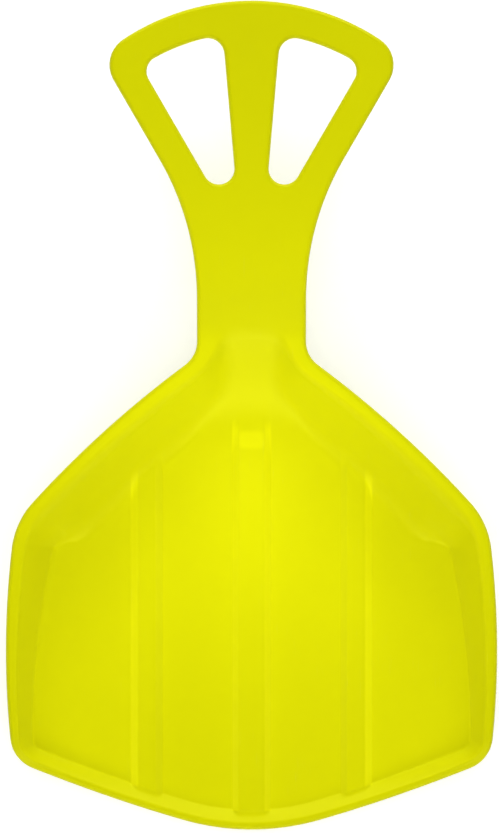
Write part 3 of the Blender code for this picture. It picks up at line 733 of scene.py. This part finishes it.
# %% How strongly the highlight is painted on each point of a flank
# For the centre rib and the side ribs: how strongly the highlight is painted on the inner and the outer flank, and
# between which shares of a wall's way up that falls to 0
FLANK_HIGHLIGHTS = ((0.75, 0.75, 0.06, 0.12), (0.18, 1.0, 0.0, 0.2))


def ease_slope(value, reach):
    """Slope of ease: 0 below -reach, 1 above reach, and a straight climb between."""
    return np.clip((value + reach) / (2 * reach), 0.0, 1.0)


def flank_highlight_share(points):
    """Strength of the painted highlight: the slope of the rib's climb, 0 on the floor and on the rib's top, times how
    much that flank counts. It falls to 0 where the wall rises."""
    plan = abs(points[:, 0]) + 1j * points[:, 1]
    share, _ = raw_share(plan, rim_height(plan.imag) - floor_height(plan))
    slope = np.zeros(len(plan))
    for (centre, width, top_width), (inner, outer, fade, end) in zip(RIBS, FLANK_HIGHLIGHTS):
        flank = (width - top_width) / 2
        climb = (width / 2 - abs(plan.real - centre)) / flank
        bend = RIB_EDGE / flank
        facing = np.where(plan.real < centre, inner, outer)
        left = np.clip((end - share) / (end - fade), 0.0, 1.0)
        slope = np.maximum(slope, facing * left * (ease_slope(climb, bend) - ease_slope(climb - 1, bend)))
    return slope


# Painted highlight on the ribs' flanks: how strongly each point is lightened
FLANK_HIGHLIGHT_SHARE = flank_highlight_share(SHEET_POINTS)
print("points on the ribs' flanks:", int((FLANK_HIGHLIGHT_SHARE > 0.5).sum()))

# %% [markdown]
# **The sheet as a Blender object.** The arrays go into a mesh in one call each, which is far quicker than a loop over
# the points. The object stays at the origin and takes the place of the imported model's node. A count of the faces on
# each edge tells whether the sheet is closed.

# %% Mesh object
def mesh_object(name, points, faces):
    """A mesh object at the origin from arrays of points and of four-cornered faces."""
    mesh = bpy.data.meshes.new(name)
    mesh.vertices.add(len(points))
    mesh.vertices.foreach_set("co", points.astype(np.float32).ravel())
    mesh.loops.add(faces.size)
    mesh.loops.foreach_set("vertex_index", faces.astype(np.int32).ravel())
    mesh.polygons.add(len(faces))
    mesh.polygons.foreach_set("loop_start", np.arange(0, faces.size, 4, dtype=np.int32))
    mesh.update(calc_edges=True)
    mesh.validate()
    mesh.shade_smooth()
    piece = bpy.data.objects.new(name, mesh)
    bpy.context.scene.collection.objects.link(piece)
    return piece


slider = mesh_object("slider_sheet", SHEET_POINTS, SHEET_FACES)
edge_faces = np.zeros(len(slider.data.edges), int)
np.add.at(edge_faces, np.array([loop.edge_index for loop in slider.data.loops]), 1)
print("edges with other than two faces:", int((edge_faces != 2).sum()))
# The painted highlight of the ribs' flanks, for the plastic's colour to read
rib_flank_highlight = slider.data.attributes.new("rib_flank_highlight", "FLOAT", "POINT")
rib_flank_highlight.data.foreach_set("value", FLANK_HIGHLIGHT_SHARE.astype(np.float32))
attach(slider, "root")
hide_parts("slider_shell")

# %% [markdown]
# ## The plastic
# The slider is polyethylene, coloured all through: a strong yellow-green with a soft gloss. Close up, such a
# moulding isn't perfectly even. Its colour drifts a little where the melt flowed, the mould leaves a very
# fine pebbled skin, and handling leaves faint short scuffs. Each of these effects is a small node group
# with named inputs and outputs, so each can be turned up or down by itself in the material.

# %% Helpers for node groups
def node_group(name, inputs, outputs):
    """A shader node group with its input and output nodes. Inputs are name: (type, default)."""
    group = bpy.data.node_groups.new(name, "ShaderNodeTree")
    for socket, (kind, default) in inputs.items():
        made = group.interface.new_socket(name=socket, in_out="INPUT", socket_type=kind)
        if default is not None:
            made.default_value = default
    for socket, kind in outputs.items():
        group.interface.new_socket(name=socket, in_out="OUTPUT", socket_type=kind)
    return group, group.nodes.new("NodeGroupInput"), group.nodes.new("NodeGroupOutput")


def feed(tree, socket, value):
    """Give an input a constant, or link another node's output to it."""
    if isinstance(value, bpy.types.NodeSocket):
        tree.links.new(value, socket)
    else:
        socket.default_value = value


def add_node(tree, kind, **settings):
    """A new node with some of its settings, then some of its inputs, by name."""
    node = tree.nodes.new(kind)
    for name, value in settings.items():
        if hasattr(node, name):
            setattr(node, name, value)
        else:
            feed(tree, node.inputs[name.replace("_", " ")], value)
    return node


def math_node(tree, operation, *values):
    """The output of a Math node, with its inputs in the node's own order."""
    node = add_node(tree, "ShaderNodeMath", operation=operation)
    for socket, value in zip(node.inputs, values):
        feed(tree, socket, value)
    return node.outputs[0]


def map_range(tree, value, start, end, low=0.0, high=1.0, kind="LINEAR"):
    """The output of a Map Range node: low up to start, high from end on."""
    node = add_node(tree, "ShaderNodeMapRange", interpolation_type=kind, Value=value)
    for socket, bound in zip(node.inputs[1:], (start, end, low, high)):
        socket.default_value = bound
    return node.outputs["Result"]


def feed_all(tree, node, inputs):
    """Feed a node's inputs by name."""
    for name, value in inputs.items():
        feed(tree, node.inputs[name], value)


def colour_mix(tree, blend, factor, first, second):
    """The colour output of a Mix node, whose inputs 0, 6 and 7 are the factor and the two colours."""
    node = add_node(tree, "ShaderNodeMix", data_type="RGBA", blend_type=blend)
    for number, value in ((0, factor), (6, first), (7, second)):
        feed(tree, node.inputs[number], value)
    return node.outputs[2]


FLOAT, VECTOR = "NodeSocketFloat", "NodeSocketVector"

# %% [markdown]
# **Drift of colour.** Where the melt flowed and cooled unevenly, the colour is a hair lighter or darker. Two noise
# scales are enough: one as wide as a hand, one as wide as a fingertip. The group puts out one number
# near 1 that the colour is multiplied by.

# %% Group: drift of the colour
def melt_drift():
    """1 + strength x (broad noise - 1/2 + half of fine noise)."""
    group, given, out = node_group(
        "melt drift", {"Position": (VECTOR, None), "Strength": (FLOAT, 0.02)}, {"Factor": FLOAT}
    )
    place = given.outputs["Position"]
    broad = add_node(group, "ShaderNodeTexNoise", Vector=place, Scale=9.0, Detail=2.0, Roughness=0.45)
    fine = add_node(group, "ShaderNodeTexNoise", Vector=place, Scale=60.0, Detail=3.0, Roughness=0.5)
    centred = math_node(group, "SUBTRACT", broad.outputs["Fac"], 0.5)
    mixed = math_node(group, "MULTIPLY_ADD", fine.outputs["Fac"], 0.5, centred)
    factor = math_node(group, "MULTIPLY_ADD", mixed, given.outputs["Strength"], 1.0)
    group.links.new(factor, out.inputs["Factor"])
    return group


# %% [markdown]
# **Moulded grain.** Moulds for such parts are often blasted, which leaves shallow pebbles about half a millimetre
# across on the skin. They are far too small for geometry, so they are a height for a Bump node, and the same height
# roughens the gloss a little. A slower swell under them stands for the faint unevenness of a thin cooled wall.

# %% Group: moulded grain
def moulded_grain():
    """Height = pebbles (smooth Voronoi cells) + swell x broad noise."""
    group, given, out = node_group(
        "moulded grain",
        {"Position": (VECTOR, None), "Pebbles per metre": (FLOAT, 1600.0), "Swell": (FLOAT, 0.5)},
        {"Height": FLOAT},
    )
    place, density, strength = given.outputs[:3]
    pebbles = add_node(
        group, "ShaderNodeTexVoronoi", feature="SMOOTH_F1", Vector=place, Scale=density, Smoothness=0.6
    )
    swell = add_node(group, "ShaderNodeTexNoise", Vector=place, Scale=28.0, Detail=1.0)
    height = math_node(group, "MULTIPLY_ADD", swell.outputs["Fac"], strength, pebbles.outputs["Distance"])
    group.links.new(height, out.inputs["Height"])
    return group


# %% [markdown]
# **Scuffs.** Stacking and shipping leave a few short hairlines, mostly lengthwise. Noise stretched along one axis
# gives them, and a second noise keeps them in patches. The mask is 0 on clean plastic.

# %% Group: scuffs
SCUFF_TURN = math.radians(12.0)
SCUFF_STRETCH = (1400.0, 45.0, 200.0)
SCUFF_LINE_RANGE = (0.66, 0.78)
SCUFF_PATCH_RANGE = (0.48, 0.66)


def scuffs():
    """Mask = (stretched noise above a threshold) x (patch noise above a threshold) x amount."""
    group, given, out = node_group(
        "scuffs", {"Position": (VECTOR, None), "Amount": (FLOAT, 0.3)}, {"Mask": FLOAT}
    )
    place = given.outputs["Position"]
    stretch = add_node(
        group, "ShaderNodeMapping", vector_type="POINT", Vector=place, Rotation=(0, 0, SCUFF_TURN), Scale=SCUFF_STRETCH
    )
    stretched = stretch.outputs["Vector"]
    lines = add_node(group, "ShaderNodeTexNoise", Vector=stretched, Scale=1.0, Detail=2.0, Roughness=0.6)
    patches = add_node(group, "ShaderNodeTexNoise", Vector=place, Scale=14.0, Detail=2.0)
    thin = map_range(group, lines.outputs["Fac"], *SCUFF_LINE_RANGE)
    local = map_range(group, patches.outputs["Fac"], *SCUFF_PATCH_RANGE)
    mask = math_node(group, "MULTIPLY", math_node(group, "MULTIPLY", thin, local), given.outputs["Amount"])
    group.links.new(mask, out.inputs["Mask"])
    return group


# %% [markdown]
# ** A painted highlight at the end of the centre rib.** Where the rib runs out on the ramp, a small paler oblong between its
# flanks is painted in as a highlight. Its edge would need many more points as a number on the mesh, so it is worked out
# in the material from the place alone.

# %% Mask for the painted highlight at the end of the centre rib
RIB_END_MIDDLE = (0.0, -0.0162, 0.0)
RIB_END_HALF_SIZE = (0.0108, 0.0066, 1.0)
# How strongly the highlight at the centre rib's end is painted
RIB_END_HIGHLIGHT_SHARE = 0.45
RIB_END_EDGE = (0.6, 1.3)


def rib_end_painted_highlight(tree, place):
    """A painted highlight, at full strength near the middle of the rib's end and 0 outside it, eased between the two
    distances of
    RIB_END_EDGE. The distance is counted in half sizes, as the fourth root of the sum of fourth powers, which
    makes the patch an oblong with round corners."""
    middle, size = RIB_END_MIDDLE, RIB_END_HALF_SIZE
    scaled = add_node(tree, "ShaderNodeMapping", vector_type="TEXTURE", Vector=place, Location=middle, Scale=size)
    parts = add_node(tree, "ShaderNodeSeparateXYZ", Vector=scaled.outputs["Vector"])
    powers = []
    for part in (parts.outputs["X"], parts.outputs["Y"]):
        square = math_node(tree, "MULTIPLY", part, part)
        powers.append(math_node(tree, "MULTIPLY", square, square))
    distance = math_node(tree, "POWER", math_node(tree, "ADD", *powers), 0.25)
    return map_range(tree, distance, *RIB_END_EDGE, RIB_END_HIGHLIGHT_SHARE, 0.0, "SMOOTHSTEP")


# %% [markdown]
# **The plastic itself.** One Principled shader takes the colour through all of those effects in turn. The gloss is
# tinted yellow, because the photograph's highlights stay yellow, and is soft, as on polyethylene.

# %% The plastic itself
SLIDER_YELLOW = (0.745, 0.745, 0.001, 1.0)
# Colour of the painted highlights on the ribs' flanks and at the centre rib's end
FLANK_HIGHLIGHT_YELLOW = (0.93, 0.92, 0.003, 1.0)
SCUFF_YELLOW = (0.80, 0.80, 0.10, 1.0)
GLOSS_YELLOW = (1.0, 1.0, 0.02, 1.0)
REFRACTION = 1.51
DRIFT_STRENGTH = 0.05
SCUFF_AMOUNT = 0.35
ROUGHNESS = (0.34, 0.42)
SCUFF_ROUGHNESS = 0.25
GRAIN_TOP = 1.2
GRAIN_STRENGTH = 0.12
GRAIN_HEIGHT = 0.0002


def yellow_green_plastic():
    """Principled plastic: colour with painted highlights on the ribs' flanks and at the centre rib's end, x drift,
    paler at scuffs, and grain as bump and as a little roughness."""
    material = bpy.data.materials.new("yellow_green_plastic")
    material.use_nodes = True
    tree = material.node_tree
    place = add_node(tree, "ShaderNodeTexCoord").outputs["Object"]
    drift = add_node(tree, "ShaderNodeGroup", node_tree=melt_drift(), Position=place, Strength=DRIFT_STRENGTH)
    grain = add_node(tree, "ShaderNodeGroup", node_tree=moulded_grain(), Position=place)
    wear = add_node(tree, "ShaderNodeGroup", node_tree=scuffs(), Position=place, Amount=SCUFF_AMOUNT)
    height, scuffed = grain.outputs["Height"], wear.outputs["Mask"]
    # Painted highlights: on the ribs' flanks from the mesh, and at the centre rib's end from the place
    flank = add_node(tree, "ShaderNodeAttribute", attribute_name="rib_flank_highlight")
    painted_highlight = math_node(tree, "MAXIMUM", flank.outputs["Fac"], rib_end_painted_highlight(tree, place))
    colour = colour_mix(tree, "MIX", painted_highlight, SLIDER_YELLOW, FLANK_HIGHLIGHT_YELLOW)
    colour = colour_mix(tree, "MULTIPLY", 1.0, colour, drift.outputs["Factor"])
    colour = colour_mix(tree, "MIX", scuffed, colour, SCUFF_YELLOW)
    rough = map_range(tree, height, 0.0, GRAIN_TOP, *ROUGHNESS)
    rough = math_node(tree, "MULTIPLY_ADD", scuffed, SCUFF_ROUGHNESS, rough)
    bump = add_node(tree, "ShaderNodeBump", Height=height, Strength=GRAIN_STRENGTH, Distance=GRAIN_HEIGHT)
    look = {"Base Color": colour, "Roughness": rough, "Normal": bump.outputs["Normal"]}
    look |= {"IOR": REFRACTION, "Specular Tint": GLOSS_YELLOW}
    feed_all(tree, tree.nodes["Principled BSDF"], look)
    return material


slider.data.materials.append(yellow_green_plastic())
print("material nodes:", len(slider.data.materials[0].node_tree.nodes))

# %% [markdown]
# ## The studio
# The photograph looks straight down on the slider, on plain white. A floor carries the shadow. Long soft lamps stand
# at the front and the rear, and two weak ones at the sides, so walls that face sideways come out darkest, as they do
# in the photograph. A large lamp hangs high over the middle. Two small ones close above the front of the pan make
# it brightest at the foot of the ramp, and leave the handle darker. The camera is far away with a long lens, so
# heights hardly change sizes.

# %% Floor and background
FLOOR_HALF = 3.0
FLOOR_GAP = 0.0002
FLOOR_WHITE = (0.80, 0.80, 0.80, 1.0)
PLAIN_WHITE = (1.0, 1.0, 1.0, 1.0)
FLOOR_GLOW = 0.55
WORLD_LIGHT = 0.10


def looked_at(tree, lighting, seen):
    """A socket that gives seen to the camera, to reflections and through glass, and lighting to all else."""
    ray = add_node(tree, "ShaderNodeLightPath")
    total = ray.outputs["Is Camera Ray"]
    for kind in ("Is Glossy Ray", "Is Transmission Ray"):
        total = math_node(tree, "MAXIMUM", total, ray.outputs[kind])
    return map_range(tree, total, 0.0, 1.0, lighting, seen)


def pale_floor():
    """A flat square under the slider. Its glow is for the camera and for reflections, and lights nothing."""
    corners = FLOOR_HALF * np.array([(-1, -1, 0), (1, -1, 0), (1, 1, 0), (-1, 1, 0)]) - (0, 0, FLOOR_GAP)
    floor = mesh_object("floor", corners, np.array([[0, 1, 2, 3]]))
    material = bpy.data.materials.new("pale_floor")
    material.use_nodes = True
    tree = material.node_tree
    look = {"Base Color": FLOOR_WHITE, "Roughness": 0.9, "Specular IOR Level": 0.0}
    look |= {"Emission Color": PLAIN_WHITE, "Emission Strength": looked_at(tree, 0.0, FLOOR_GLOW)}
    feed_all(tree, tree.nodes["Principled BSDF"], look)
    floor.data.materials.append(material)
    return floor


def studio_world():
    """Even light from all round, and plain white where the camera or a reflection sees past the floor."""
    world = bpy.data.worlds.new("studio")
    bpy.context.scene.world = world
    world.use_nodes = True
    tree = world.node_tree
    feed_all(tree, tree.nodes["Background"], {"Color": PLAIN_WHITE, "Strength": looked_at(tree, WORLD_LIGHT, 1.0)})


pale_floor()
studio_world()
print("floor, m:", 2 * FLOOR_HALF, " light from all round:", WORLD_LIGHT)

# %% Lamps
# Each lamp's place, size, power in watts, and the point that it faces
SLIDER_MIDDLE = (0.0, 0.0, 0.03)
LAMPS = {
    "lamp_rear": ((0.0, -1.5, 0.8), (2.0, 0.5), 13.5, SLIDER_MIDDLE),
    "lamp_front": ((0.0, 1.6, 0.8), (2.0, 0.5), 20.0, SLIDER_MIDDLE),
    "lamp_high": ((0.0, 0.0, 2.4), (1.2, 1.2), 6.6, SLIDER_MIDDLE),
    "lamp_over_pan": ((0.0, -0.06, 0.3), (0.2, 0.2), 0.18, (0.0, -0.06, 0.0)),
    "lamp_over_ramp_foot": ((0.0, -0.03, 0.115), (0.06, 0.06), 0.017, (0.0, -0.055, 0.0)),
    "lamp_left": ((-0.75, -0.08, 0.52), (0.2, 0.4), 1.0, (0.0, -0.08, 0.0)),
    "lamp_right": ((0.75, -0.08, 0.52), (0.2, 0.4), 1.0, (0.0, -0.08, 0.0)),
}


def soft_lamp(name, place, size, power, target):
    """A rectangular lamp at a place, facing the target."""
    light = bpy.data.lights.new(name, "AREA")
    light.shape = "RECTANGLE"
    light.size, light.size_y = size
    light.energy = power
    lamp = bpy.data.objects.new(name, light)
    bpy.context.scene.collection.objects.link(lamp)
    lamp.location = place
    way = Vector(target) - Vector(place)
    lamp.rotation_euler = way.to_track_quat("-Z", "Y").to_euler()


for name, settings in LAMPS.items():
    soft_lamp(name, *settings)
print("lamps:", len(LAMPS))

# %% Camera
PHOTO_SIZE = (499, 837)
METRES_PER_PIXEL = 0.0007247
OBJECT_MIDDLE = (251.5, 417.65)
CAMERA_HEIGHT = 5.0
SENSOR = 36.0


def top_camera():
    """A long lens straight above, with the slider's middle on the pixel where the photograph has it."""
    camera = bpy.data.objects.new("camera", bpy.data.cameras.new("camera"))
    bpy.context.scene.collection.objects.link(camera)
    bpy.context.scene.camera = camera
    across = (PHOTO_SIZE[0] / 2 - OBJECT_MIDDLE[0]) * METRES_PER_PIXEL
    along = (OBJECT_MIDDLE[1] - PHOTO_SIZE[1] / 2) * METRES_PER_PIXEL
    camera.location = (across, along, CAMERA_HEIGHT)
    camera.data.sensor_width = SENSOR
    camera.data.lens = SENSOR * (CAMERA_HEIGHT - SLIDER_MIDDLE[2]) / (PHOTO_SIZE[1] * METRES_PER_PIXEL)
    print("lens, mm:", round(camera.data.lens, 1))


top_camera()
bpy.context.scene.view_settings.view_transform = "Standard"
